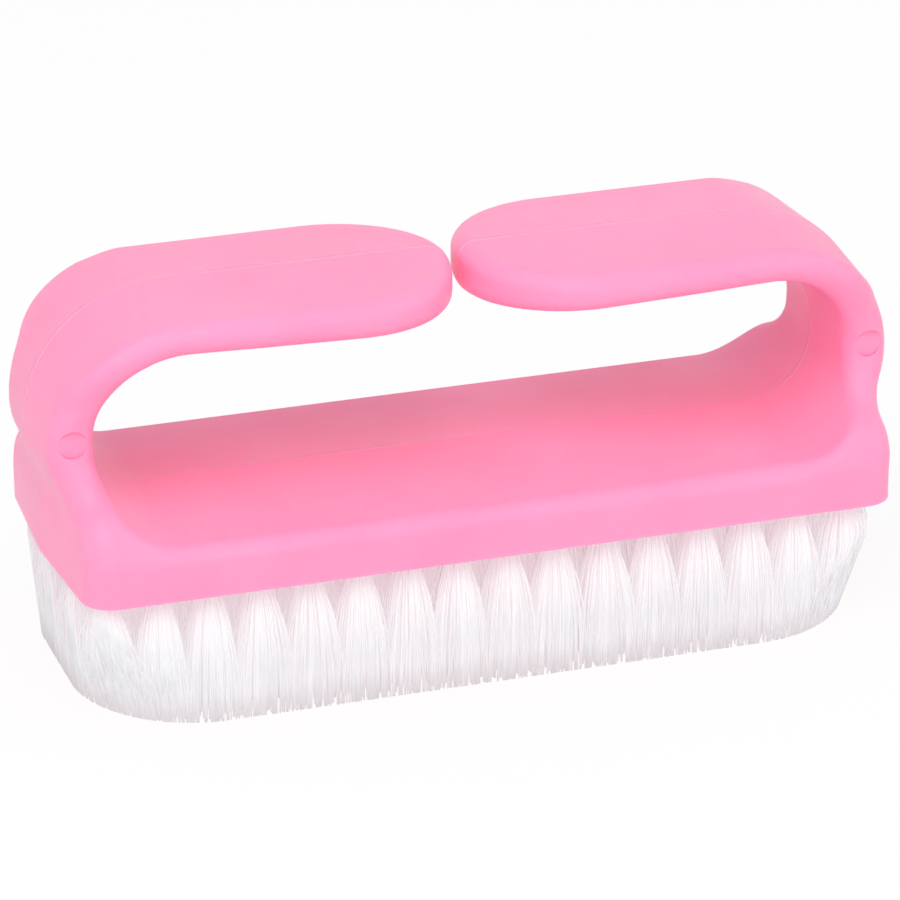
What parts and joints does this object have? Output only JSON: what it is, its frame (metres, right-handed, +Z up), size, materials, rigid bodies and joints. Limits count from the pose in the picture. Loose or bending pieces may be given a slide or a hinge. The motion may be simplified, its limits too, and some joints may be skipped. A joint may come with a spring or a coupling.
{
  "type": "nail brush",
  "caption": "Nail brush with a moulded plastic finger-loop handle, its arms folded in over the block, and staggered tufts of white nylon trimmed to a flat face.",
  "frame": {"origin": "middle of the trimmed bristle face that the brush stands on", "axes": "+X along the handle, +Y to its back, +Z up from the bristle face to the arms"},
  "size_m": [0.099, 0.036, 0.0461],
  "materials": {
    "handle": "pink polypropylene, satin from the mould",
    "bristles": "translucent white nylon filament",
    "anchor_wire": "flat drawn wire"
  },
  "bodies": {
    "root": {"handle_body": "handle", "tuft_rank_01": "bristles", "tuft_rank_02": "bristles", "tuft_rank_03": "bristles", "tuft_rank_04": "bristles", "tuft_rank_05": "bristles", "tuft_rank_06": "bristles", "tuft_rank_07": "bristles", "tuft_rank_08": "bristles", "tuft_rank_09": "bristles", "tuft_rank_10": "bristles", "tuft_rank_11": "bristles", "tuft_rank_12": "bristles", "tuft_rank_13": "bristles", "tuft_rank_14": "bristles", "tuft_rank_15": "bristles", "tuft_rank_16": "bristles", "anchor_rank_01": "anchor_wire", "anchor_rank_02": "anchor_wire", "anchor_rank_03": "anchor_wire", "anchor_rank_04": "anchor_wire", "anchor_rank_05": "anchor_wire", "anchor_rank_06": "anchor_wire", "anchor_rank_07": "anchor_wire", "anchor_rank_08": "anchor_wire", "anchor_rank_09": "anchor_wire", "anchor_rank_10": "anchor_wire", "anchor_rank_11": "anchor_wire", "anchor_rank_12": "anchor_wire", "anchor_rank_13": "anchor_wire", "anchor_rank_14": "anchor_wire", "anchor_rank_15": "anchor_wire", "anchor_rank_16": "anchor_wire"}
  },
  "joints": []
}
